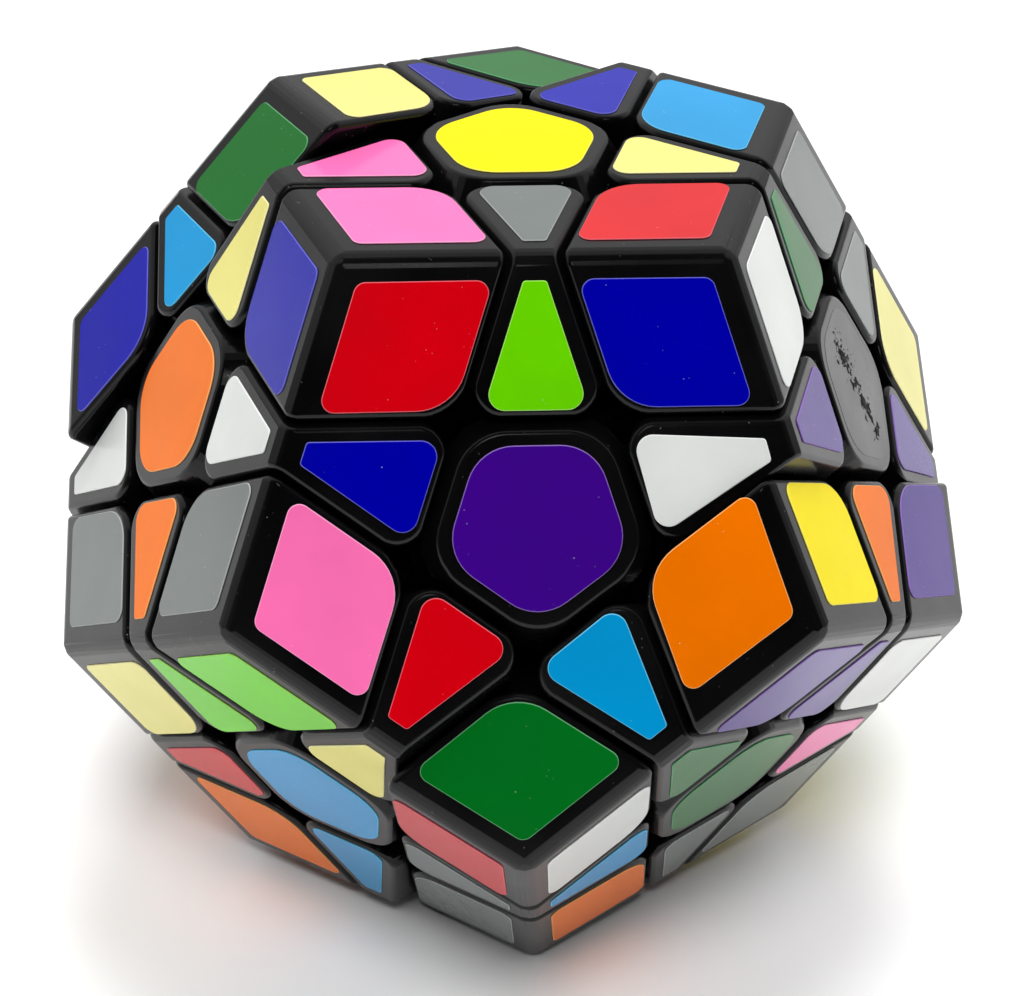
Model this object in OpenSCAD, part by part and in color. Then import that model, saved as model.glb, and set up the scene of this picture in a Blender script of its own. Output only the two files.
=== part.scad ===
// Twelve-sided twisty puzzle. Twelve centres sit on sprung screws, and thirty
// edges and twenty corners are locked under them by feet in a round track.
// The front and rear layers stand a few degrees out of line with the rest.

/* [Body] */
// Distance between opposite plastic faces
across_faces = 70; // [66:1:78]
// Height of each turning plane above the puzzle's centre
cut_height = 23; // [22.6:0.1:23.4]
// Gap left on each side of a turning plane or track
gap = 0.15; // [0.1:0.05:0.2]
// Radius that the ridges between faces are worn to
ridge_radius = 1.6; // [0.8:0.2:2.4]
// Plan radius of a corner piece beside the centre
corner_plan_radius = 5; // [3:0.5:6]
// Plan radius of an edge piece beside the centre
edge_plan_radius = 1.8; // [1:0.2:2.2]
// Plan radius of a centre piece
centre_plan_radius = 5.2; // [3:0.2:6]

/* [Turn] */
// Angle that the front layer stands out of line
front_turn = 6; // [0:0.5:12]
// Angle that the rear layer stands out of line
rear_turn = 11; // [0:0.5:12]

/* [Track] */
// Radius of the round track under the heads
track_radius = 32; // [31.6:0.1:32.4]
// Half angle of the cone that bounds the feet
foot_angle = 50.5; // [49.5:0.5:51]
// Depth of a corner's foot
corner_foot_depth = 6.4; // [4:0.2:7]
// Depth of an edge's foot
edge_foot_depth = 3.2; // [2:0.2:3.4]
// Half the length of an edge's foot
edge_foot_length = 9; // [7:0.2:9.4]
// Half the width of an edge's foot, and the radius of its neck
edge_neck = 3.3; // [2.6:0.1:3.4]

/* [Centres] */
// Outer radius of a centre's stem
stem_radius = 4.1; // [3.8:0.1:4.2]
// Radius of the well that holds the spring
well_radius = 2.9; // [2.8:0.1:3.1]
// Height of the well's floor above the stem's foot
floor_height = 4.6; // [3:0.2:6]
// Thickness of the snap-in cap
cap_thickness = 1.6; // [1.4:0.1:1.8]
// Running clearance of the screws, stems and caps
running_gap = 0.05; // [0.03:0.01:0.08]

/* [Core] */
// Distance from the hub's middle to its flats
hub_radius = 11.5; // [9:0.5:14]
// Radius of each of the core's twelve posts
post_radius = 3.9; // [3:0.1:4]
// Distance from the puzzle's centre to the end of a post
post_end = 20; // [18:0.5:21]
// Distance from the puzzle's centre to the end of a screw
screw_end = 10; // [9:0.5:12]

/* [Fasteners] */
// Radius of the screw's shank
screw_radius = 1.5; // [1.2:0.1:1.6]
// Radius of the screw's head
head_radius = 2.6; // [2.4:0.1:2.7]
// Height of the screw's head
head_height = 1.6; // [1.2:0.1:1.8]
// Width of the head's cross slot
slot_width = 0.7; // [0.5:0.1:0.9]
// Thickness of the washer under the head
washer_thickness = 0.5; // [0.3:0.1:0.7]
// Thickness of the spring's wire
wire = 0.6; // [0.4:0.1:0.7]

/* [Stickers] */
// Thickness of a sticker
sticker_thickness = 0.12; // [0.08:0.01:0.2]
// Plastic left between a sticker and a ridge
ridge_margin = 2.15; // [1.8:0.05:2.6]
// Plastic left between a sticker and the turning plane at its base
base_margin = 0.95; // [0.8:0.05:1.4]
// Plastic left between an edge's sticker and the planes beside it
side_margin = 1.3; // [1:0.05:1.6]
// Plastic left around a centre's sticker
centre_margin = 1.9; // [1.4:0.1:2.4]
// Corner radius of a centre's sticker
centre_sticker_radius = 3.9; // [2:0.1:4.2]
// Corner radius of a corner piece's sticker, and of an edge's beside the centre
sticker_radius = 1; // [0.4:0.1:1.2]
// Corner radius of an edge's sticker at the ridge
tip_radius = 0.4; // [0.2:0.1:0.6]

/* [Hidden] */
$fn = 48;

plastic = "#161616";
metal = "silver";
paints = ["yellow", "indigo", "white", "crimson", "navy", "orange",
          "green", "deepskyblue", "gray", "limegreen", "hotpink", "khaki"];

tilt = atan(2);                          // between neighbouring faces' axes
face = across_faces / 2;
reach = 2 * across_faces;                // past everything
inside = cut_height + gap;               // where a layer's own pieces begin
outside = cut_height - gap;              // where the other pieces end
foot_top = track_radius - gap;
head_bottom = track_radius + gap;
corner_lean = acos(sqrt((5 + 2 * sqrt(5)) / 15)); // from a face's axis to a corner's
clear_angle = asin(gap / track_radius);
corner_foot_angle = foot_angle - clear_angle - corner_lean;
corner_foot_top = foot_top * cos(corner_foot_angle);
corner_foot_base = corner_foot_top - corner_foot_depth;
bite = 0.5;                              // overlap that joins a piece's own shapes
corner_neck = (corner_foot_top * cos(corner_lean) - inside) / sin(corner_lean);
edge_foot_top = sqrt(pow(foot_top, 2) - pow(edge_foot_length, 2) - pow(edge_neck, 2));
edge_foot_base = edge_foot_top - edge_foot_depth;
ridge_line = face * tan(tilt / 2);       // in a face's plane, from its middle
cut_line = (cut_height - face * cos(tilt)) / sin(tilt);

stem_foot = post_end + running_gap;
well_floor = stem_foot + floor_height;
cap_seat = face - cap_thickness;
cap_radius = well_radius + 1.2;
plug_depth = 0.5;
slot_depth = 0.7;
post_root = 2;                           // how far a post runs into the hub
head_top = cap_seat - plug_depth - running_gap;
head_base = head_top - head_height;
washer_base = head_base - washer_thickness;

// The faces: 0 is on top, 1 to 5 lean up, 6 to 10 lean down, and 11 is below.
FRONT = 6;
REAR = 4;
faces = [for (f = [0:11]) f];
leans = [0, tilt, tilt, tilt, tilt, tilt, 180 - tilt, 180 - tilt, 180 - tilt, 180 - tilt, 180 - tilt, 180];
bearings = [0, 270, 342, 54, 126, 198, 306, 18, 90, 162, 234, 0];
axes = [for (f = faces) [sin(leans[f]) * cos(bearings[f]), sin(leans[f]) * sin(bearings[f]), cos(leans[f])]];

function meet(f, g) = f != g && axes[f] * axes[g] > 0.4;
function has(list, x) = len([for (v = list) if (v == x) x]) > 0;
function beside(piece) = [for (k = faces) if (min([for (f = piece) meet(f, k) ? 1 : 0]) == 1) k];
function holding(list, f) = [for (p = list) if (has(p, f)) p];
function without(list, f) = [for (p = list) if (!has(p, f)) p];

centres = [for (f = faces) [f]];
edges = [for (f = faces, g = faces) if (f < g && meet(f, g)) [f, g]];
corners = [for (f = faces, g = faces, h = faces) if (f < g && g < h && meet(f, g) && meet(g, h) && meet(f, h)) [f, g, h]];
pieces = concat(centres, edges, corners);
middle_faces = [for (f = faces) if (f != FRONT && f != REAR) f];
middle_edges = without(without(edges, FRONT), REAR);
middle_corners = without(without(corners, FRONT), REAR);
front_edges = holding(edges, FRONT);
front_corners = holding(corners, FRONT);
rear_edges = holding(edges, REAR);
rear_corners = holding(corners, REAR);

// The bearing of face g seen from face f, in f's own plane.
function seen(f, g) =
    let (x = axes[g] * [cos(leans[f]) * cos(bearings[f]), cos(leans[f]) * sin(bearings[f]), -sin(leans[f])],
         y = axes[g] * [-sin(bearings[f]), cos(bearings[f]), 0])
    atan2(y, x);

module along(v)
    rotate([0, acos(v[2] / norm(v)), atan2(v[1], v[0])])
        children();

module on_face(f)
    rotate([0, leans[f], bearings[f]])
        children();

// Everything below the plane at distance d along v.
module below(v, d)
    along(v)
        translate([-reach / 2, -reach / 2, d - reach])
            cube(reach);

// Everything, less the sharp corner where the planes (u, du) and (v, dv) meet:
// flats that lie round a radius.
module worn(u, du, v, dv, radius, flats) {
    g = u * v;
    between = acos(g);
    a = (du - radius - g * (dv - radius)) / (1 - g * g);
    b = (dv - radius - g * (du - radius)) / (1 - g * g);
    middle = a * u + b * v;
    intersection_for (i = [1 : flats]) {
        turn = between * i / (flats + 1);
        out = (sin(between - turn) * u + sin(turn) * v) / sin(between);
        below(out, out * middle + radius);
    }
}

function pairs(list) = [for (f = list, g = list) if (f < g && meet(f, g)) [f, g]];
function middle_axis(piece) = let (v = len(piece) == 2 ? axes[piece[0]] + axes[piece[1]]
                                       : axes[piece[0]] + axes[piece[1]] + axes[piece[2]]) v / norm(v);

// The part of an edge or a corner above the track.
module head(piece) {
    lid = middle_axis(piece);
    intersection() {
        intersection_for (f = piece)
            below(axes[f], face);
        intersection_for (f = piece)
            below(-axes[f], -inside);
        intersection_for (p = pairs(piece))
            worn(axes[p[0]], face, axes[p[1]], face, ridge_radius, 1);
        below(-lid, -head_bottom);
        children();
    }
}

module corner_piece(piece) {
    lid = middle_axis(piece);
    color(plastic)
        union() {
            head(piece)
                intersection() {
                    intersection_for (p = pairs(piece))
                        worn(-axes[p[0]], -inside, -axes[p[1]], -inside, corner_plan_radius, 2);
                    below(lid, (face - ridge_radius) / cos(corner_lean) + ridge_radius);
                }
            along(lid) {
                translate([0, 0, corner_foot_top - bite])
                    cylinder(h = head_bottom - corner_foot_top + 2 * bite, r = corner_neck);
                translate([0, 0, corner_foot_base])
                    cylinder(h = corner_foot_top - corner_foot_base,
                             r1 = corner_foot_base * tan(corner_foot_angle),
                             r2 = corner_foot_top * tan(corner_foot_angle));
            }
        }
}

module edge_piece(piece) {
    lid = middle_axis(piece);
    ridge = cross(axes[piece[0]], axes[piece[1]]);
    across = cross(lid, ridge / norm(ridge));
    color(plastic)
        union() {
            head(piece)
                intersection() {
                    intersection_for (k = beside(piece))
                        below(axes[k], outside);
                    intersection_for (f = piece, k = beside(piece))
                        worn(-axes[f], -inside, axes[k], outside, edge_plan_radius, 1);
                }
            along(lid)
                translate([0, 0, edge_foot_top - bite])
                    cylinder(h = head_bottom - edge_foot_top + 2 * bite, r = edge_neck - bite / 2);
            intersection() {
                below(lid, edge_foot_top);
                below(-lid, -edge_foot_base);
                below(across, edge_foot_length);
                below(-across, edge_foot_length);
                below(ridge, edge_neck);
                below(-ridge, edge_neck);
            }
        }
}

module centre_piece(f) {
    ring = beside([f]);
    color(plastic)
        difference() {
            union() {
                intersection() {
                    below(axes[f], face);
                    below(-axes[f], -head_bottom);
                    intersection_for (k = ring)
                        below(axes[k], outside);
                    intersection_for (p = pairs(ring))
                        worn(axes[p[0]], outside, axes[p[1]], outside, centre_plan_radius, 2);
                }
                on_face(f)
                    translate([0, 0, stem_foot])
                        cylinder(h = cap_seat - stem_foot, r = stem_radius);
            }
            on_face(f) {
                translate([0, 0, well_floor])
                    cylinder(h = reach, r = well_radius);
                cylinder(h = reach, r = screw_radius + running_gap);
                translate([0, 0, cap_seat])
                    cylinder(h = reach, r = cap_radius);
            }
        }
}

module cap(f)
    color(plastic)
        on_face(f) {
            translate([0, 0, cap_seat])
                cylinder(h = cap_thickness, r = cap_radius - running_gap);
            translate([0, 0, cap_seat - plug_depth])
                cylinder(h = plug_depth, r = well_radius - running_gap);
        }

module screw(f)
    color(metal)
        on_face(f)
            difference() {
                union() {
                    translate([0, 0, screw_end])
                        cylinder(h = head_top - screw_end, r = screw_radius);
                    translate([0, 0, head_base])
                        cylinder(h = head_height, r = head_radius);
                }
                for (a = [0, 90])
                    rotate(a)
                        translate([0, 0, head_top])
                            cube([1.4 * head_radius, slot_width, 2 * slot_depth], center = true);
            }

module washer(f)
    color(metal)
        on_face(f)
            translate([0, 0, washer_base])
                difference() {
                    cylinder(h = washer_thickness, r = head_radius);
                    translate([0, 0, -1])
                        cylinder(h = washer_thickness + 2, r = screw_radius + running_gap);
                }

// A plain sleeve of the coil's inner and outer size.
module spring(f)
    color(metal)
        on_face(f)
            translate([0, 0, well_floor])
                difference() {
                    cylinder(h = washer_base - well_floor, r = head_radius);
                    translate([0, 0, -1])
                        cylinder(h = reach, r = head_radius - wire);
                }

module core()
    color("#202225")
        difference() {
            union() {
                intersection_for (f = faces)
                    below(axes[f], hub_radius);
                for (f = faces)
                    on_face(f)
                        translate([0, 0, hub_radius - post_root])
                            cylinder(h = post_end - hub_radius + post_root, r = post_radius);
            }
            for (f = faces)
                on_face(f)
                    translate([0, 0, screw_end])
                        cylinder(h = reach, r = screw_radius);
        }

// Outlines of the stickers, drawn in a face's own plane.
module within(angle, d)
    rotate(angle)
        translate([d - reach, -reach / 2])
            square(reach);

module softened(a, da, b, db, radius) {
    u = [cos(a), sin(a)];
    v = [cos(b), sin(b)];
    g = u * v;
    middle = ((da - radius - g * (db - radius)) * u + (db - radius - g * (da - radius)) * v) / (1 - g * g);
    out = (u + v) / norm(u + v);
    union() {
        within(atan2(out[1], out[0]), out * (middle + radius * u));
        translate(middle)
            circle(radius);
    }
}

// An outline of lines, each [angle, distance], with a radius where each meets the next.
module outline(lines, radii)
    intersection_for (i = [0 : len(lines) - 1]) {
        after = (i + 1) % len(lines);
        intersection() {
            within(lines[i][0], lines[i][1]);
            softened(lines[i][0], lines[i][1], lines[after][0], lines[after][1], radii[i]);
        }
    }

module sticker_outline(f, piece) {
    others = [for (g = piece) if (g != f) g];
    if (len(others) == 0)
        outline([for (i = [0:4]) [seen(f, beside([f])[0]) + 72 * i, cut_line - centre_margin]],
                [for (i = [0:4]) centre_sticker_radius]);
    if (len(others) == 1) {
        a = seen(f, others[0]);
        outline([[a, ridge_line - ridge_margin], [a + 72, cut_line - side_margin],
                 [a + 180, -cut_line - base_margin], [a - 72, cut_line - side_margin]],
                [tip_radius, sticker_radius, sticker_radius, tip_radius]);
    }
    if (len(others) == 2) {
        a = seen(f, others[0]);
        b = seen(f, others[1]);
        outline([[a, ridge_line - ridge_margin], [b, ridge_line - ridge_margin],
                 [a + 180, -cut_line - base_margin], [b + 180, -cut_line - base_margin]],
                [sticker_radius, sticker_radius, corner_plan_radius - base_margin, sticker_radius]);
    }
}

function paint(f, piece) = paints[(f + 5 * len(piece) + piece[0]) % len(paints)];

module sticker(f, piece)
    color(paint(f, piece))
        on_face(f)
            translate([0, 0, face])
                linear_extrude(sticker_thickness)
                    sticker_outline(f, piece);

module turned_front()
    rotate(front_turn, axes[FRONT])
        children();

module turned_rear()
    rotate(rear_turn, axes[REAR])
        children();

module screws()
    for (f = faces)
        screw(f);

module washers()
    for (f = faces)
        washer(f);

module springs()
    for (f = middle_faces)
        spring(f);

module caps()
    for (f = middle_faces)
        cap(f);

// The face at bearing 342 has lost its centre's sticker.
BARE = 2;
BASE = 11;

module face_stickers()
    for (p = without(without(pieces, FRONT), REAR), f = p)
        if (f != BASE && p != [BARE])
            sticker(f, p);

module base_stickers()
    for (p = without(without(pieces, FRONT), REAR))
        if (has(p, BASE))
            sticker(BASE, p);

module front_stickers()
    turned_front()
        for (p = holding(pieces, FRONT), f = p)
            if (f != BASE)
                sticker(f, p);

module front_base_stickers()
    turned_front()
        for (p = holding(holding(pieces, FRONT), BASE))
            sticker(BASE, p);

module rear_stickers()
    turned_rear()
        for (p = holding(pieces, REAR), f = p)
            sticker(f, p);

module middle_edge_group(i)
    for (j = [0:4])
        edge_piece(middle_edges[5 * i + j]);

core();
screws();
washers();
springs();
caps();
face_stickers();
base_stickers();
front_base_stickers();
for (i = [0:3])
    middle_edge_group(i);
for (i = [0:9]) {
    centre_piece(middle_faces[i]);
    corner_piece(middle_corners[i]);
}
for (i = [0:4]) {
    turned_front() edge_piece(front_edges[i]);
    turned_front() corner_piece(front_corners[i]);
    turned_rear() edge_piece(rear_edges[i]);
    turned_rear() corner_piece(rear_corners[i]);
}
turned_front() centre_piece(FRONT);  // front_centre
turned_front() cap(FRONT);  // front_cap
turned_front() spring(FRONT);  // front_spring
front_stickers();
turned_rear() centre_piece(REAR);  // rear_centre
turned_rear() cap(REAR);  // rear_cap
turned_rear() spring(REAR);  // rear_spring
rear_stickers();
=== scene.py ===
import bpy, bmesh, math, random
from mathutils import Matrix, Vector, noise


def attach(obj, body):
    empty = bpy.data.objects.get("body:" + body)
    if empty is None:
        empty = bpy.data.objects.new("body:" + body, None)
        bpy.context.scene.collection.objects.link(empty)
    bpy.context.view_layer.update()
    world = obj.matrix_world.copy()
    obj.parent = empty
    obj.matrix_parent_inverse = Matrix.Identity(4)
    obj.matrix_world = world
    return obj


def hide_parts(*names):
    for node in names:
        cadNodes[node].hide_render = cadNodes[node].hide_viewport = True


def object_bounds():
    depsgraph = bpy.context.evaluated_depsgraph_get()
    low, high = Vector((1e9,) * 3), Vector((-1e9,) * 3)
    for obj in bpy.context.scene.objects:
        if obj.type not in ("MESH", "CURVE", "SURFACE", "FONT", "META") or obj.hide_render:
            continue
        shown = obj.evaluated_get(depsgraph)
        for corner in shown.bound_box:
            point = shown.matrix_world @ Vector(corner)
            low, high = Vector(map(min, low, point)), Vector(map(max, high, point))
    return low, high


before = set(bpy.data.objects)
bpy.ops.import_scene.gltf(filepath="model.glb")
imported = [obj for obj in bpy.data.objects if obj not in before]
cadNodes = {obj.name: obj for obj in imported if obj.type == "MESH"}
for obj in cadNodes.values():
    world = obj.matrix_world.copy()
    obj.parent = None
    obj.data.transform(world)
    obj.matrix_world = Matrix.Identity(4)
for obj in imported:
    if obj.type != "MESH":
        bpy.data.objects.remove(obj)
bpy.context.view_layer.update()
mm = 0.001                    # sizes are in millimetres where nothing says metres
print("frame loaded")

# the body's faces and pieces

bodyValues = {
    "acrossFaces": 70.0,
    "cutHeight": 23.0,
    "gap": 0.15,
    "trackRadius": 32.0,
    "ridgeRadius": 1.9,
    "cornerPlanRadius": 5.0,
    "edgePlanRadius": 1.9,
    "centrePlanRadius": 5.2,
    "centreGap": 0.45,        # extra room round each centre
    "edgeSoftness": 0.5,      # radius every moulded edge has
    "overlap": 0.5,           # how far a neck runs into its foot
    "cornerNeck": 2.5,
    "cornerFootLow": 24.65,
    "cornerFootHigh": 31.05,
    "cornerFootLowRadius": 5.62,
    "cornerFootHighRadius": 7.08,
    "edgeNeck": 3.1,
    "edgeFootLow": 27.15,
    "edgeFootHigh": 30.35,
    "edgeFootReach": 9.07,
    "edgeFootHalfWidth": 3.35,
    "edgeFootSoftness": 0.3,
    "stemLow": 20.05,
    "stemRadius": 4.1,
    "wellFloor": 24.65,       # the spring stands on it
    "wellRadius": 2.9,
    "screwHole": 1.55,
    "capSeat": 33.4,
    "frontTurn": 6.0,         # the partly turned layers, in degrees
    "rearTurn": 11.0,
}
half = bodyValues["acrossFaces"] / 2
inside = bodyValues["cutHeight"] + bodyValues["gap"]
outside = bodyValues["cutHeight"] - bodyValues["gap"]
headBottom = bodyValues["trackRadius"] + bodyValues["gap"]
tilt = math.atan(2)

letters = "UFRSTLGHKMBD"      # up, front, right, and so on round to down
leans = [0] + [tilt] * 5 + [math.pi - tilt] * 5 + [math.pi]
bearings = [math.radians(b) for b in (0, 270, 342, 54, 126, 198, 306, 18, 90, 162, 234, 0)]


def planeFrame(f):
    c, s = math.cos(leans[f]), math.sin(leans[f])
    cb, sb = math.cos(bearings[f]), math.sin(bearings[f])
    m = Matrix(((c * cb, -sb, s * cb), (c * sb, cb, s * sb), (-s, 0, c)))
    return m.to_4x4()


axes = [planeFrame(f).col[2].to_3d() for f in range(12)]


def meet(f, g):
    return f != g and axes[f].dot(axes[g]) > 0.4


def seen(f, g):               # bearing of face g in the plane of face f
    v = planeFrame(f).inverted() @ axes[g]
    return math.atan2(v.y, v.x)


centres = [(f,) for f in range(12)]
edges = [(f, g) for f in range(12) for g in range(f + 1, 12) if meet(f, g)]
corners = [(f, g, h) for f, g in edges for h in range(g + 1, 12) if meet(f, h) and meet(g, h)]
frontFace, rearFace = letters.index("G"), letters.index("T")
layers = {
    "middle": (None, Matrix.Identity(4)),
    "front_layer": (frontFace, Matrix.Rotation(math.radians(bodyValues["frontTurn"]), 4, axes[frontFace])),
    "rear_layer": (rearFace, Matrix.Rotation(math.radians(bodyValues["rearTurn"]), 4, axes[rearFace])),
}


def layerOf(piece):
    return "front_layer" if frontFace in piece else "rear_layer" if rearFace in piece else "middle"


def roundPlanes(u, du, v, dv, radius, flats):
    g = u.dot(v)
    between = math.acos(g)
    a = (du - radius - g * (dv - radius)) / (1 - g * g)
    b = (dv - radius - g * (du - radius)) / (1 - g * g)
    middle = a * u + b * v
    out = []
    for i in range(1, flats + 1):
        t = between * i / (flats + 1)
        n = (math.sin(between - t) * u + math.sin(t) * v) / math.sin(between)
        out.append((n, n.dot(middle) + radius))
    return out


def softSolid(name, planes, softness):  # a convex block inside the planes, with every edge rounded
    inner = [(n, d - softness) for n, d in planes]
    points = []
    for i in range(len(inner)):
        for j in range(i + 1, len(inner)):
            line = inner[i][0].cross(inner[j][0])
            if line.length < 1e-6:
                continue
            for k in range(j + 1, len(inner)):
                det = line.dot(inner[k][0])
                if abs(det) < 1e-6:
                    continue
                p = (inner[i][1] * inner[j][0].cross(inner[k][0])
                     + inner[j][1] * inner[k][0].cross(inner[i][0]) + inner[k][1] * line) / det
                if all(n.dot(p) < d + 1e-5 for n, d in inner) and all((p - q).length > 1e-3 for q in points):
                    points.append(p)
    ball = bmesh.new()
    bmesh.ops.create_icosphere(ball, subdivisions=3, radius=1)
    ways = [v.co.normalized() for v in ball.verts]
    ball.free()
    shape = bmesh.new()
    for p in points:
        near = [n for n, d in inner if abs(n.dot(p) - d) < 1e-3]
        lean = sum(near, Vector()).normalized()
        reach = min(lean.dot(n) for n in near)
        for w in near + [w for w in ways if w.dot(lean) > reach]:
            shape.verts.new(p + softness * w)
    bmesh.ops.remove_doubles(shape, verts=shape.verts, dist=1e-4)
    made = bmesh.ops.convex_hull(shape, input=shape.verts, use_existing_faces=False)
    bmesh.ops.delete(shape, geom=made["geom_interior"], context="VERTS")
    bmesh.ops.dissolve_limit(shape, angle_limit=math.radians(0.4), verts=shape.verts, edges=shape.edges)
    bmesh.ops.recalc_face_normals(shape, faces=shape.faces)
    mesh = bpy.data.meshes.new(name)
    shape.to_mesh(mesh)
    shape.free()
    thing = bpy.data.objects.new(name, mesh)
    bpy.context.collection.objects.link(thing)
    return thing


def drum(lid, low, high, r1, r2):       # a round bar along lid
    shape = bmesh.new()
    bmesh.ops.create_cone(shape, cap_ends=True, segments=40, radius1=r1, radius2=r2, depth=high - low)
    turn = lid.to_track_quat("Z", "Y").to_matrix().to_4x4()
    bmesh.ops.transform(shape, verts=shape.verts, matrix=turn @ Matrix.Translation((0, 0, (low + high) / 2)))
    mesh = bpy.data.meshes.new("drum")
    shape.to_mesh(mesh)
    shape.free()
    thing = bpy.data.objects.new("drum", mesh)
    bpy.context.collection.objects.link(thing)
    return thing


def joinShapes(thing, other, operation):
    cut = thing.modifiers.new("join", "BOOLEAN")
    cut.object, cut.operation, cut.solver = other, operation, "EXACT"
    mesh = bpy.data.meshes.new_from_object(thing.evaluated_get(bpy.context.evaluated_depsgraph_get()))
    thing.modifiers.clear()
    thing.data = mesh
    bpy.data.objects.remove(other)
    return thing


def finishMaster(thing):                # metres, and smooth only where it curves
    thing.data.transform(Matrix.Scale(mm, 4))
    for p in thing.data.polygons:
        p.use_smooth = p.area < 0.8 * mm * mm
    thing.hide_render = True
    return thing


def cornerMaster():
    v = bodyValues
    piece = (0, 1, 2)
    lid = sum((axes[f] for f in piece), Vector()).normalized()
    planes = [(-lid, -headBottom), (lid, (half - 2) / lid.dot(axes[0]) + 2)]
    for f in piece:
        planes += [(axes[f], half), (-axes[f], -inside)]
    for f, g in ((0, 1), (1, 2), (0, 2)):
        planes += roundPlanes(axes[f], half, axes[g], half, v["ridgeRadius"], 4)
        planes += roundPlanes(-axes[f], -inside, -axes[g], -inside, v["cornerPlanRadius"], 6)
    for f in piece:
        for g in piece:
            if f != g:                  # where a ridge runs out at the turning plane
                planes += roundPlanes(axes[f], half, -axes[g], -inside, v["edgeSoftness"] + 0.05, 1)
    thing = softSolid("cornerMaster", planes, v["edgeSoftness"])
    top = v["cornerFootHigh"]
    neck = drum(lid, top - v["overlap"], headBottom + 1, v["cornerNeck"], v["cornerNeck"])
    foot = drum(lid, v["cornerFootLow"], top, v["cornerFootLowRadius"], v["cornerFootHighRadius"])
    joinShapes(thing, neck, "UNION")
    joinShapes(thing, foot, "UNION")
    return finishMaster(thing)


def edgeMaster():
    v = bodyValues
    piece = (0, 1)
    beside = [k for k in range(12) if meet(0, k) and meet(1, k)]
    lid = (axes[0] + axes[1]).normalized()
    planes = [(-lid, -headBottom)]
    planes += roundPlanes(axes[0], half, axes[1], half, v["ridgeRadius"], 4)
    for f in piece:
        planes += [(axes[f], half), (-axes[f], -inside)]
        for k in beside:
            planes += roundPlanes(-axes[f], -inside, axes[k], outside, v["edgePlanRadius"], 6)
    planes += [(axes[k], outside) for k in beside]
    thing = softSolid("edgeMaster", planes, v["edgeSoftness"])
    neck = drum(lid, v["edgeFootHigh"] - v["overlap"], headBottom + 1, v["edgeNeck"], v["edgeNeck"])
    joinShapes(thing, neck, "UNION")
    ridge = axes[0].cross(axes[1]).normalized()
    across = lid.cross(ridge)
    foot = [(lid, v["edgeFootHigh"]), (-lid, -v["edgeFootLow"])]
    for way, reach in ((across, v["edgeFootReach"]), (ridge, v["edgeFootHalfWidth"])):
        foot += [(way, reach), (-way, reach)]
    joinShapes(thing, softSolid("foot", foot, v["edgeFootSoftness"]), "UNION")
    return finishMaster(thing)


def centreMaster():
    v = bodyValues
    ring = [k for k in range(12) if meet(0, k)]
    wall = outside - v["centreGap"]
    planes = [(axes[0], half), (-axes[0], -headBottom)] + [(axes[k], wall) for k in ring]
    for i, f in enumerate(ring):
        for g in ring[i + 1:]:
            if meet(f, g):
                planes += roundPlanes(axes[f], wall, axes[g], wall, v["centrePlanRadius"], 7)
    thing = softSolid("centreMaster", planes, v["edgeSoftness"])
    up = Vector((0, 0, 1))
    joinShapes(thing, drum(up, v["stemLow"], headBottom + 1, v["stemRadius"], v["stemRadius"]), "UNION")
    well = (v["wellFloor"], v["wellRadius"])
    hole = (v["stemLow"] - 5, v["screwHole"])
    seat = (v["capSeat"], v["stemRadius"])
    for low, radius in (well, hole, seat):
        joinShapes(thing, drum(up, low, half + 5, radius, radius), "DIFFERENCE")
    return finishMaster(thing)


def carry(fromFaces, toFaces):          # the turn that takes one set of faces to another
    def basis(a, b):
        return Matrix((axes[a], axes[b], axes[a].cross(axes[b]))).transposed()
    return (basis(*toFaces) @ basis(*fromFaces).inverted()).to_4x4()


def pieceTurn(piece):
    if len(piece) == 1:
        return carry((0, 1), (piece[0], next(k for k in range(12) if meet(piece[0], k))))
    if len(piece) == 2:
        return carry((0, 1), piece)
    f, g, h = piece
    if axes[f].cross(axes[g]).dot(axes[h]) * axes[0].cross(axes[1]).dot(axes[2]) < 0:
        g, h = h, g
    return carry((0, 1), (f, g))


# materials

def linear(hexColour):
    out = []
    for i in (1, 3, 5):
        c = int(hexColour[i:i + 2], 16) / 255
        out.append(c / 12.92 if c < 0.04045 else ((c + 0.055) / 1.055) ** 2.4)
    return (*out, 1)


# In a map range, input 0 is the value, 1 and 2 are its limits, and 3 and 4 the new limits.
# In a mix, input 0 is the share of the second colour, and 6 and 7 are the colours.
def addNode(tree, kind, settings=None, inputs=None):
    n = tree.nodes.new(kind)
    for k, v in (settings or {}).items():
        setattr(n, k, v)
    for k, v in (inputs or {}).items():
        if isinstance(v, bpy.types.NodeSocket):
            tree.links.new(v, n.inputs[k])
        else:
            n.inputs[k].default_value = v
    return n


def startMaterial(name):
    m = bpy.data.materials.new(name)
    m.use_nodes = True
    tree = m.node_tree
    tree.nodes.clear()
    out = addNode(tree, "ShaderNodeOutputMaterial")
    shader = addNode(tree, "ShaderNodeBsdfPrincipled")
    tree.links.new(shader.outputs[0], out.inputs[0])
    where = addNode(tree, "ShaderNodeTexCoord").outputs["Object"]
    return m, tree, shader, where


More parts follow.
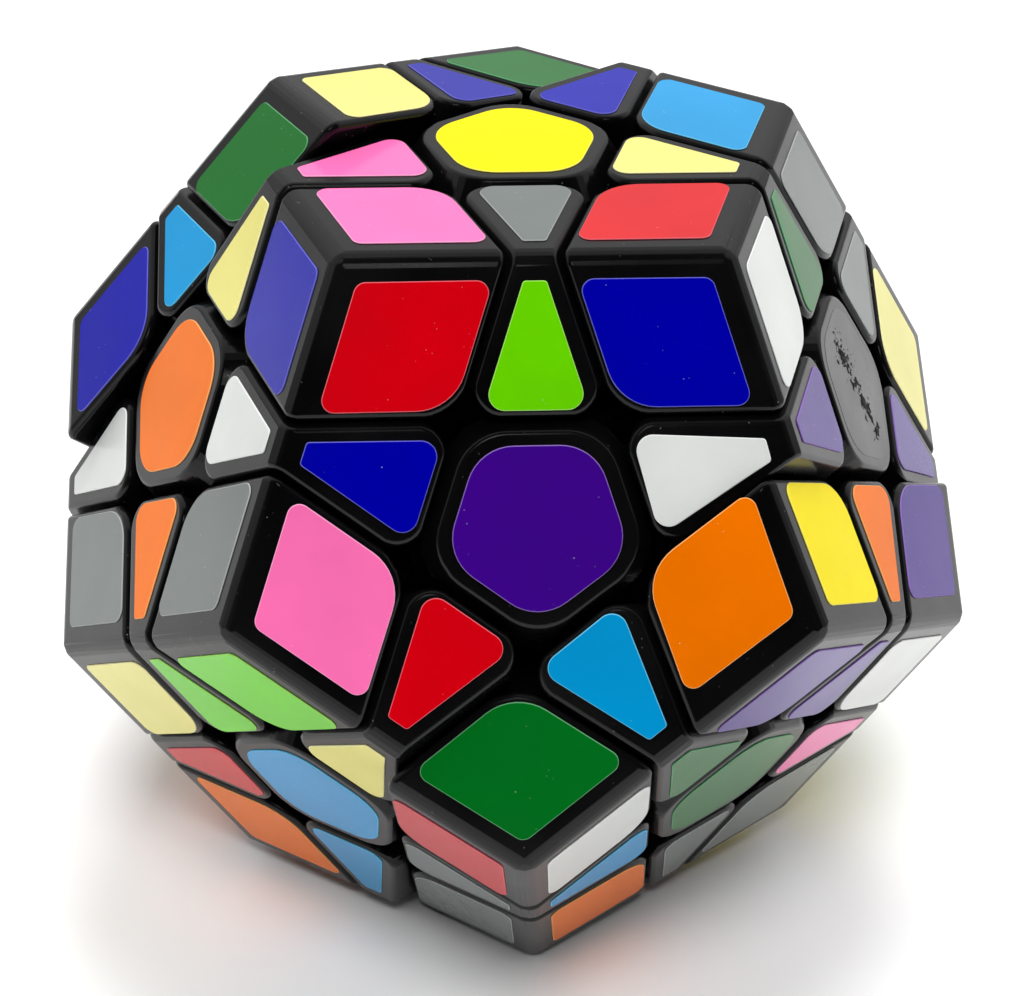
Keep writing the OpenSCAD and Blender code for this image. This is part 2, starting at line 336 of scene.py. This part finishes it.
def glossy(name, colour, dust, look):   # moulded or printed gloss with dust, smears and fine scratches
    m, tree, shader, where = startMaterial(name)
    multiply, colours = {"operation": "MULTIPLY"}, {"data_type": "RGBA"}

    smears = {"Vector": where, "Scale": look["smearPerMetre"], "Detail": 4.0}
    smear = addNode(tree, "ShaderNodeTexNoise", None, smears).outputs["Fac"]
    uneven = {0: smear, 1: 0.3, 2: 0.7, 3: 0.0, 4: 1.0}
    shade = addNode(tree, "ShaderNodeMapRange", None, uneven).outputs[0]
    tones = {0: shade, 6: linear(colour[0]), 7: linear(colour[1])}
    tone = addNode(tree, "ShaderNodeMix", colours, tones).outputs[2]
    wiped = {0: smear, 1: 0.25, 2: 0.75, 3: look["roughLow"], 4: look["roughHigh"]}
    rough = addNode(tree, "ShaderNodeMapRange", None, wiped).outputs[0]
    tree.links.new(rough, shader.inputs["Roughness"])

    cells = {"Vector": where, "Scale": look["specksPerMetre"]}
    middle = addNode(tree, "ShaderNodeTexVoronoi", {"feature": "F1"}, cells).outputs["Distance"]
    grains = {0: middle, 1: look["speckSize"], 2: look["speckSize"] * 0.5, 3: 0.0, 4: 1.0}
    near = addNode(tree, "ShaderNodeMapRange", None, grains).outputs[0]
    patches = {"Vector": where, "Scale": look["specksPerMetre"] / 3}
    patch = addNode(tree, "ShaderNodeTexNoise", None, patches).outputs["Fac"]
    filled = {0: patch, 1: 0.6, 2: 0.68, 3: 0.0, 4: 1.0}
    few = addNode(tree, "ShaderNodeMapRange", None, filled).outputs[0]
    speck = addNode(tree, "ShaderNodeMath", multiply, {0: near, 1: few}).outputs[0]
    amount = addNode(tree, "ShaderNodeMath", multiply, {0: speck, 1: look["speckStrength"]}).outputs[0]
    paint = addNode(tree, "ShaderNodeMix", colours, {0: amount, 6: tone, 7: linear(dust)}).outputs[2]
    tree.links.new(paint, shader.inputs["Base Color"])

    turned = {"Vector": where, "Rotation": (0.4, 0.9, 0.3), "Scale": (1.0, 1.0, 0.04)}
    stretched = addNode(tree, "ShaderNodeMapping", None, turned).outputs[0]
    hairs = {"Vector": stretched, "Scale": look["scratchPerMetre"], "Detail": 2.0}
    hair = addNode(tree, "ShaderNodeTexNoise", None, hairs).outputs["Fac"]
    waves = {"Vector": where, "Scale": look["wavePerMetre"], "Detail": 1.0}
    wave = addNode(tree, "ShaderNodeTexNoise", None, waves).outputs["Fac"]
    scratch = {"Strength": look["scratchDepth"], "Distance": 0.02 * mm, "Height": hair}
    fine = addNode(tree, "ShaderNodeBump", None, scratch).outputs[0]
    swell = {"Strength": look["waveDepth"], "Distance": 0.2 * mm, "Height": wave, "Normal": fine}
    bump = addNode(tree, "ShaderNodeBump", None, swell).outputs[0]
    tree.links.new(bump, shader.inputs["Normal"])
    shader.inputs["IOR"].default_value = look["ior"]
    shader.inputs["Specular IOR Level"].default_value = look["gloss"]
    return m


absLook = {
    "smearPerMetre": 90.0,    # handling smears about 11 mm apart
    "specksPerMetre": 1700.0, # a cell of dust every 0.6 mm, few of them filled
    "speckSize": 0.15,
    "speckStrength": 0.5,
    "roughLow": 0.14,
    "roughHigh": 0.3,
    "ior": 1.5,
    "gloss": 0.26,
    "scratchPerMetre": 2500.0,
    "scratchDepth": 0.25,
    "wavePerMetre": 160.0,    # the slight sink of a moulded wall, 6 mm apart
    "waveDepth": 0.12,
}
vinylLook = {
    "smearPerMetre": 70.0,
    "specksPerMetre": 1900.0,
    "speckSize": 0.12,
    "speckStrength": 0.35,
    "roughLow": 0.12,
    "roughHigh": 0.26,
    "ior": 1.46,
    "gloss": 0.32,
    "scratchPerMetre": 2200.0,
    "scratchDepth": 0.2,
    "wavePerMetre": 110.0,    # film that follows the glue under it
    "waveDepth": 0.3,
}
innerLook = dict(absLook, roughLow=0.4, roughHigh=0.55)
cutLook = dict(vinylLook, roughLow=0.5, roughHigh=0.6)
# gloss of the adhesive film whose grey colour is partly painted sheen
sheenFilmLook = dict(absLook, roughLow=0.2, roughHigh=0.42, gloss=0.55, waveDepth=0.5)

# injection moulded ABS: deep gloss with a fine haze from handling
blackAbs = glossy("mouldedBlackAbs", ("#050506", "#0b0b0c"), "#8d8b86", absLook)
# the unpolished side of the same mould: dull
innerAbs = glossy("innerBlackAbs", ("#0c0c0d", "#161617"), "#55534f", innerLook)
# a film of old adhesive, grey and uneven: its grey, lighter than the black plastic, is partly painted sheen
paintedSheenFilm = glossy("adhesiveFilmPaintedSheen", ("#1c1e1d", "#2c2e2d"), "#8d8b86", sheenFilmLook)

vinylColours = {
    "purple": "#3b0486", "yellow": "#fae400", "orange": "#f27400", "sky": "#0094d2", "green": "#006a1c",
    "white": "#dcdfdc", "red": "#d00010", "blue": "#0000a2", "grey": "#6e7472", "lime": "#66d200",
    "pink": "#fb70b2", "cream": "#ece47e",
}


def shaded(hexColour, k):
    return "#" + "".join("%02x" % max(0, min(255, round(int(hexColour[i:i + 2], 16) * k))) for i in (1, 3, 5))


def lighter(hexColour, k):
    return "#" + "".join("%02x" % round(int(hexColour[i:i + 2], 16) * (1 - k) + 235 * k) for i in (1, 3, 5))


# calendered vinyl film: flat strong colour under an even gloss
vinyls = [glossy("calenderedVinyl" + n.capitalize(), (c, shaded(c, 0.93)), "#f4f2ee", vinylLook)
          for n, c in vinylColours.items()]
strongFilms = {"yellow": ((1, 0.9, 0.02, 1), 0.06), "orange": ((1, 0.6, 0.2, 1), 0.14)}
for name, (tint, level) in strongFilms.items():  # they colour their own gloss
    sockets = vinyls[list(vinylColours).index(name)].node_tree.nodes["Principled BSDF"].inputs
    sockets["Specular Tint"].default_value = tint
    sockets["Specular IOR Level"].default_value = level
# the die-cut side of the film, where its pale body shows
cutEdges = [glossy("vinylCutEdge" + n.capitalize(), (lighter(c, 0.35), lighter(c, 0.45)), "#f4f2ee", cutLook)
            for n, c in vinylColours.items()]


def zincSteel():                        # zinc plated wire and screws: soft grey gloss
    m, tree, shader, where = startMaterial("zincPlatedSteel")
    pits = {"Vector": where, "Scale": 1500.0, "Detail": 3.0}
    pitted = addNode(tree, "ShaderNodeTexNoise", None, pits).outputs["Fac"]
    tones = {0: pitted, 6: linear("#a9adb0"), 7: linear("#c9cccd")}
    tone = addNode(tree, "ShaderNodeMix", {"data_type": "RGBA"}, tones).outputs[2]
    dulled = {0: pitted, 1: 0.0, 2: 1.0, 3: 0.25, 4: 0.45}
    rough = addNode(tree, "ShaderNodeMapRange", None, dulled).outputs[0]
    tree.links.new(tone, shader.inputs["Base Color"])
    tree.links.new(rough, shader.inputs["Roughness"])
    shader.inputs["Metallic"].default_value = 1.0
    return m


def driedGlue():                        # dried adhesive: black, crazed and rough
    m, tree, shader, where = startMaterial("driedAdhesive")
    crazing = {"Vector": where, "Scale": 900.0, "Detail": 6.0, "Roughness": 0.7}
    clumps = addNode(tree, "ShaderNodeTexNoise", None, crazing).outputs["Fac"]
    tones = {0: clumps, 6: linear("#030303"), 7: linear("#141414")}
    tone = addNode(tree, "ShaderNodeMix", {"data_type": "RGBA"}, tones).outputs[2]
    dulled = {0: clumps, 1: 0.0, 2: 1.0, 3: 0.45, 4: 0.9}
    rough = addNode(tree, "ShaderNodeMapRange", None, dulled).outputs[0]
    lumps = {"Strength": 0.8, "Distance": 0.2 * mm, "Height": clumps}
    bump = addNode(tree, "ShaderNodeBump", None, lumps).outputs[0]
    tree.links.new(tone, shader.inputs["Base Color"])
    tree.links.new(rough, shader.inputs["Roughness"])
    tree.links.new(bump, shader.inputs["Normal"])
    shader.inputs["Specular IOR Level"].default_value = 0.25
    return m


steel, glue = zincSteel(), driedGlue()
print("materials ready")

# plastic pieces, placed by one geometry tree

def copiesTree():
    tree = bpy.data.node_groups.new("placePieces", "GeometryNodeTree")
    for name, kind in (("Geometry", "Geometry"), ("Piece", "Object"), ("Material", "Material")):
        tree.interface.new_socket(name, in_out="INPUT", socket_type="NodeSocket" + kind)
    tree.interface.new_socket("Geometry", in_out="OUTPUT", socket_type="NodeSocketGeometry")
    given = addNode(tree, "NodeGroupInput").outputs
    piece = addNode(tree, "GeometryNodeObjectInfo", None, {"Object": given["Piece"]}).outputs["Geometry"]
    turn = addNode(tree, "GeometryNodeInputNamedAttribute", {"data_type": "FLOAT_VECTOR"}, {"Name": "turn"})
    euler = addNode(tree, "FunctionNodeEulerToRotation", None, {0: turn.outputs[0]})
    places = {"Points": given["Geometry"], "Instance": piece, "Rotation": euler.outputs[0]}
    put = addNode(tree, "GeometryNodeInstanceOnPoints", None, places)
    real = addNode(tree, "GeometryNodeRealizeInstances", None, {"Geometry": put.outputs[0]})
    finish = {"Geometry": real.outputs[0], "Material": given["Material"]}
    painted = addNode(tree, "GeometryNodeSetMaterial", None, finish)
    addNode(tree, "NodeGroupOutput", None, {0: painted.outputs[0]})
    return tree


placePieces = copiesTree()


def placeCopies(name, master, pieces, body):
    mesh = bpy.data.meshes.new(name + "Points")
    mesh.from_pydata([(0, 0, 0)] * len(pieces), [], [])
    turns = mesh.attributes.new("turn", "FLOAT_VECTOR", "POINT")
    for i, p in enumerate(pieces):
        turns.data[i].vector = (layers[body][1] @ pieceTurn(p)).to_euler("XYZ")
    holder = bpy.data.objects.new(name + "Points", mesh)
    bpy.context.collection.objects.link(holder)
    tool = holder.modifiers.new("place", "NODES")
    tool.node_group = placePieces
    sockets = {s.name: s.identifier for s in placePieces.interface.items_tree if s.in_out == "INPUT"}
    tool[sockets["Piece"]] = master
    tool[sockets["Material"]] = blackAbs
    bpy.context.view_layer.update()
    made = bpy.data.meshes.new_from_object(holder.evaluated_get(bpy.context.evaluated_depsgraph_get()))
    bpy.data.objects.remove(holder)
    made.name = name
    if not made.materials:
        made.materials.append(blackAbs)
    thing = bpy.data.objects.new(name, made)
    bpy.context.collection.objects.link(thing)
    return thing


def nodesNamed(body, kind):
    middlePrefix = {"centre": "centre_", "edge": "edges_", "corner": "corner_"}
    prefix = middlePrefix[kind] if body == "middle" else body.split("_")[0] + "_" + kind
    return [n for n in cadNodes if n.startswith(prefix)]


masters = {
    "centre": (centreMaster(), centres),
    "edge": (edgeMaster(), edges),
    "corner": (cornerMaster(), corners),
}
for kind, (master, everyPiece) in masters.items():
    for body in layers:
        chosen = [p for p in everyPiece if layerOf(p) == body]
        thing = placeCopies(body + "_" + kind + "s", master, chosen, body)
        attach(thing, body)
        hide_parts(*nodesNamed(body, kind))
        print(thing.name, len(thing.data.polygons), "faces")
for master, _ in masters.values():
    bpy.data.objects.remove(master)

# stickers

stickerValues = {
    "thickness": 0.12,
    "bevel": 0.07,
    "underside": 0.004,       # clear of the plastic
    "ridgeMargin": 2.15,
    "baseMargin": 0.95,
    "sideMargin": 1.3,
    "centreMargin": 1.8,
    "radius": 1.0,
    "edgeRadius": 1.3,
    "tipRadius": 0.35,
    "innerRadius": 4.2,
    "centreRadius": 3.9,
    "arcSteps": 8,
    "placeSlip": 0.12,        # how far most were laid off their place, in mm
    "turnSlip": 0.5,          # and turned, in degrees
    "seed": 7,
}
ridgeLine = half * math.tan(tilt / 2)
cutLine = (bodyValues["cutHeight"] - half * math.cos(tilt)) / math.sin(tilt)

stickerColours = {                      # face letter, then the letters of the faces its piece also shows
    "F": "purple", "FU": "lime", "FL": "blue", "FR": "white", "FB": "red", "FG": "sky",
    "FLU": "red", "FRU": "blue", "FBL": "pink", "FGR": "orange", "FBG": "green",
    "U": "yellow", "UF": "grey", "UL": "pink", "UR": "cream", "UT": "blue", "US": "blue",
    "UFL": "pink", "UFR": "red", "ULT": "cream", "URS": "sky", "UST": "green",
    "L": "orange", "LF": "white", "LU": "cream", "LT": "sky", "LM": "white", "LB": "orange",
    "LFU": "blue", "LBF": "grey", "LTU": "green", "LMT": "blue", "LBM": "grey",
    "RF": "purple", "RU": "green", "RS": "grey", "RH": "purple", "RG": "orange",
    "RFU": "white", "RFG": "yellow", "RSU": "grey", "RHS": "cream", "RGH": "purple",
    "B": "sky", "BF": "cream", "BL": "lime", "BM": "red", "BD": "sky", "BG": "grey",
    "BFL": "lime", "BFG": "red", "BLM": "cream", "BDM": "orange", "BDG": "grey",
    "G": "green", "GF": "green", "GR": "purple", "GB": "sky", "GH": "pink", "GD": "grey",
    "GBF": "white", "GFR": "purple", "GHR": "white", "GBD": "orange", "GDH": "grey",
    "S": "white", "T": "red", "H": "lime", "K": "pink", "M": "blue", "D": "cream",
}
bareCentre = "R"
slips = {"FGR": (-1.0, 0.0)}            # a sticker well off its place, mm down and across its face
spins = {"FGR": -1.5, "FR": -3.0}       # and two laid turned, in degrees


def outline(lines, inset, steps):       # rounded corner between each line and the next
    points = []
    for i, (a, da, _) in enumerate(lines):
        b, db, _ = lines[(i + 1) % len(lines)]
        r = lines[i][2] - inset
        da, db = da - inset, db - inset
        u, v = Vector((math.cos(a), math.sin(a))), Vector((math.cos(b), math.sin(b)))
        g = u.dot(v)
        middle = ((da - r - g * (db - r)) * u + (db - r - g * (da - r)) * v) / (1 - g * g)
        sweep = (b - a + math.pi) % (2 * math.pi) - math.pi
        for k in range(steps + 1):
            t = a + sweep * k / steps
            points.append(middle + r * Vector((math.cos(t), math.sin(t))))
    return points


def stickerLines(f, piece):
    v = stickerValues
    others = [seen(f, g) for g in piece if g != f]
    if not others:
        a = seen(f, next(k for k in range(12) if meet(f, k)))
        return [(a + i * math.tau / 5, cutLine - v["centreMargin"], v["centreRadius"]) for i in range(5)]
    if len(others) == 1:
        a, step = others[0], math.tau / 5
        side = cutLine - v["sideMargin"]
        return [(a, ridgeLine - v["ridgeMargin"], v["tipRadius"]), (a + step, side, v["edgeRadius"]),
                (a + math.pi, -cutLine - v["baseMargin"], v["edgeRadius"]), (a - step, side, v["tipRadius"])]
    a, b = others
    if math.sin(b - a) < 0:
        a, b = b, a
    base = -cutLine - v["baseMargin"]
    return [(a, ridgeLine - v["ridgeMargin"], v["radius"]), (b, ridgeLine - v["ridgeMargin"], v["radius"]),
            (a + math.pi, base, v["innerRadius"]), (b + math.pi, base, v["radius"])]


dice = random.Random(stickerValues["seed"])
names = list(vinylColours)


def addSticker(shape, f, piece, place):
    v = stickerValues
    code = letters[f] + "".join(sorted(letters[g] for g in piece if g != f))
    colour = stickerColours.get(code) or dice.choice(names)
    chance = [dice.gauss(0, 0.5) for _ in range(3)]
    dx, dy = slips.get(code, (chance[0] * v["placeSlip"], chance[1] * v["placeSlip"]))
    spin = spins.get(code, chance[2] * v["turnSlip"])
    lines = stickerLines(f, piece)
    flat = outline(lines, 0, v["arcSteps"])
    mid = sum(flat, Vector((0, 0))) / len(flat)
    slip = Matrix.Rotation(math.radians(spin), 4, "Z") @ Matrix.Translation((-mid.x, -mid.y, 0))
    slip = place @ planeFrame(f) @ Matrix.Translation((mid.x + dx, mid.y + dy, 0)) @ slip
    rings = []
    for inset, up in ((0, v["underside"]), (0, v["thickness"] / 2), (v["bevel"], v["thickness"])):
        ring = outline(lines, inset, v["arcSteps"])
        rings.append([shape.verts.new(slip @ Vector((p.x, p.y, half + up)) * mm) for p in ring])
    n = len(rings[0])
    index = names.index(colour)
    for low, high in zip(rings, rings[1:]):
        for i in range(n):
            side = shape.faces.new((low[i], low[(i + 1) % n], high[(i + 1) % n], high[i]))
            side.material_index = index + len(names)
            side.smooth = True
    shape.faces.new(rings[-1]).material_index = index
    shape.faces.new(rings[0][::-1]).material_index = index


for body, (_, place) in layers.items():
    shape = bmesh.new()
    for piece in centres + edges + corners:
        if layerOf(piece) == body:
            for f in piece:
                if letters[f] != bareCentre or len(piece) > 1:
                    addSticker(shape, f, piece, place)
    mesh = bpy.data.meshes.new(body + "_stickers")
    bmesh.ops.recalc_face_normals(shape, faces=shape.faces)
    shape.to_mesh(mesh)
    shape.free()
    for m in vinyls + cutEdges:
        mesh.materials.append(m)
    thing = bpy.data.objects.new(body + "_vinylStickers", mesh)
    bpy.context.collection.objects.link(thing)
    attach(thing, body)
    films = [n for n in cadNodes if n.endswith("stickers")]
    if body == "middle":
        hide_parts(*[n for n in films if not n.startswith(("front", "rear"))])
    else:
        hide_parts(*[n for n in films if n.startswith(body.split("_")[0])])
print("stickers laid")

# glue left on the bare centre

glueValues = {
    "film": 0.02,             # thickness of the grey film
    "filmMargin": 0.1,        # how far it reaches past the lost sticker
    "height": 0.09,           # of the thickest crust
    "crust": 0.015,
    "cell": 0.13,
    "reach": 8.5,
    "clearRim": 2.6,
    "bandWidth": 1.6,
    "drift": 1.1,
    "ragged": 2.1,
    "seed": 4,
}


def glueHeight(x, y):                   # a ragged streak down the middle, crumbling at its upper end
    v = glueValues
    path = v["drift"] * noise.noise(Vector((x * 0.25, 3.0, v["seed"]))) + 0.06 * x
    width = v["bandWidth"] * (1 + 0.6 * noise.noise(Vector((x * 0.5, 9.0, v["seed"]))))
    rough = noise.fractal(Vector((x * 0.9, y * 0.9, v["seed"])), 0.6, 2.1, 6)
    crumbs = noise.fractal(Vector((x * 3.2, y * 3.2, v["seed"] + 5)), 0.7, 2.0, 4)
    crumbShare = 0.45 if x < -1 else 0.2
    return 0.75 * (1 - abs(y - path) / width) - 0.62 + v["ragged"] * (0.4 * rough + crumbShare * crumbs)


def glueFilm(shape, face, lines):
    v = glueValues
    ring = outline(lines, -v["filmMargin"], 10)
    low, high = [], []
    for points, up in ((low, 0.002), (high, v["film"])):
        for p in ring:
            points.append(shape.verts.new(face @ Vector((p.x, p.y, half + up)) * mm))
    shape.faces.new(high)
    shape.faces.new(low[::-1])
    for i in range(len(ring)):
        j = (i + 1) % len(ring)
        shape.faces.new((low[i], low[j], high[j], high[i]))


def glueCrust(shape, face):             # a grid that rises through the film only where glue is left
    v = glueValues
    noise.seed_set(v["seed"])           # or the sway below would differ from run to run
    grid = {}

    def spot(a, b):
        if (a, b) not in grid:
            x, y = a * v["cell"], b * v["cell"]
            h = min(v["height"], max(-v["crust"], 0.16 * glueHeight(x, y)))
            sway = noise.noise_vector(Vector((x * 4, y * 4, v["seed"]))) * v["cell"] * 0.8
            spotAt = Vector((x + sway.x, y + sway.y, half + v["film"] + h))
            grid[(a, b)] = (h, shape.verts.new(face @ spotAt * mm), math.hypot(x, y))
        return grid[(a, b)]

    crust = []
    cells = int(v["reach"] / v["cell"])
    for a in range(-cells, cells):
        for b in range(-cells, cells):
            ends = [spot(a, b), spot(a + 1, b), spot(a + 1, b + 1), spot(a, b + 1)]
            if max(e[0] for e in ends) > 0 and max(e[2] for e in ends) < cutLine - v["clearRim"]:
                crust.append(shape.faces.new([e[1] for e in ends]))
                crust[-1].material_index = 1
                crust[-1].smooth = True
    bmesh.ops.delete(shape, geom=[p for p in shape.verts if not p.link_faces], context="VERTS")
    bmesh.ops.solidify(shape, geom=crust, thickness=v["crust"] * mm)


def glueResidue():
    f = letters.index(bareCentre)
    face = planeFrame(f)
    shape = bmesh.new()
    glueFilm(shape, face, stickerLines(f, (f,)))
    glueCrust(shape, face)
    mesh = bpy.data.meshes.new("glueResidue")
    shape.to_mesh(mesh)
    shape.free()
    # the film takes the grey that is partly painted sheen, the crust the black glue
    mesh.materials.append(paintedSheenFilm)
    mesh.materials.append(glue)
    thing = bpy.data.objects.new("glueResidue", mesh)
    bpy.context.collection.objects.link(thing)
    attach(thing, "middle")


glueResidue()

# finishes of the carried-over CAD pieces

finishes = {"core": innerAbs}
finishes.update({name: steel for name in ("screws", "washers", "springs", "front_spring", "rear_spring")})
for name, node in cadNodes.items():
    node.data.materials.clear()
    node.data.materials.append(finishes.get(name, blackAbs))

# floor, light and camera

sceneValues = {
    "floorColour": "#ffffff",
    "floorSize": 6.0,         # metres
    "lens": 88.2,
    "distance": 235.3,
    "azimuth": -4.58,
    "elevation": 31.77,
    "roll": 1.29,
    "shiftX": 0.004,
    "shiftY": -0.012,
    "skyLevel": 0.9,          # a white room,
    "horizon": 0.33,          # dimmer low down,
    "darkWay": (0.06, -0.87, 0.49),  # and dark in this direction
}
lampValues = {                # place and width in metres, watts, and whether it shows only in the gloss
    "overhead": ((0.1, 0.3, 1.3), 0.5, 10, False),
    "highFront": ((-0.1, -0.75, 1.3), 0.5, 14, False),
    "ridgeGlint": ((-0.1, -0.87, 0.97), 0.35, 1.2, True),
}


def floorAndLight():
    v = sceneValues
    low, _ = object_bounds()
    bpy.ops.mesh.primitive_plane_add(size=v["floorSize"], location=(0, 0, low.z - 0.0001))
    floor = bpy.context.object
    floor.name = "floor"
    m, tree, shader, where = startMaterial("paintedBoard")  # matt white board
    shader.inputs["Base Color"].default_value = linear(v["floorColour"])
    shader.inputs["Roughness"].default_value = 0.9
    floor.data.materials.append(m)
    world = bpy.data.worlds.new("studio")
    bpy.context.scene.world = world
    world.use_nodes = True
    tree = world.node_tree
    tree.nodes.clear()
    way = addNode(tree, "ShaderNodeTexCoord").outputs["Generated"]
    front = addNode(tree, "ShaderNodeVectorMath", {"operation": "DOT_PRODUCT"}, {0: way, 1: v["darkWay"]})
    fade = {0: front.outputs["Value"], 1: 0.2, 2: 0.65, 3: v["skyLevel"], 4: 0.0}
    level = addNode(tree, "ShaderNodeMapRange", {"interpolation_type": "SMOOTHSTEP"}, fade).outputs[0]
    height = addNode(tree, "ShaderNodeSeparateXYZ", None, {0: way}).outputs["Z"]
    lowDown = {0: height, 1: -0.05, 2: 0.45, 3: v["horizon"], 4: 1.0}
    rise = addNode(tree, "ShaderNodeMapRange", None, lowDown).outputs[0]
    power = addNode(tree, "ShaderNodeMath", {"operation": "MULTIPLY"}, {0: level, 1: rise}).outputs[0]
    sky = addNode(tree, "ShaderNodeBackground", None, {"Color": (1, 1, 1, 1), "Strength": power})
    addNode(tree, "ShaderNodeOutputWorld", None, {0: sky.outputs[0]})


def softBox(name, where, size, power, inGloss):
    light = bpy.data.lights.new(name, "AREA")
    light.shape, light.size, light.energy = "SQUARE", size, power
    thing = bpy.data.objects.new(name, light)
    thing.location = where
    thing.rotation_euler = (Vector((0, 0, 0)) - Vector(where)).to_track_quat("-Z", "Y").to_euler()
    thing.visible_glossy, thing.visible_diffuse = inGloss, not inGloss
    bpy.context.collection.objects.link(thing)


def makeCamera():
    v = sceneValues
    az, el, roll = (math.radians(v[k]) for k in ("azimuth", "elevation", "roll"))
    back = Vector((math.sin(az) * math.cos(el), -math.cos(az) * math.cos(el), math.sin(el)))
    right = (-back).cross(Vector((0, 0, 1))).normalized()
    up = right.cross(-back)
    r2 = math.cos(roll) * right + math.sin(roll) * up
    u2 = -math.sin(roll) * right + math.cos(roll) * up
    data = bpy.data.cameras.new("camera")
    data.lens, data.sensor_width = v["lens"], 36
    data.shift_x, data.shift_y = v["shiftX"], v["shiftY"]
    data.clip_start, data.clip_end = 0.01, 20
    thing = bpy.data.objects.new("camera", data)
    place = Matrix.Translation(back * v["distance"] * mm)
    thing.matrix_world = place @ Matrix((r2, u2, back)).transposed().to_4x4()
    bpy.context.collection.objects.link(thing)
    bpy.context.scene.camera = thing


floorAndLight()
for name, settings in lampValues.items():
    softBox(name, *settings)
makeCamera()
bpy.context.scene.view_settings.view_transform = "Standard"
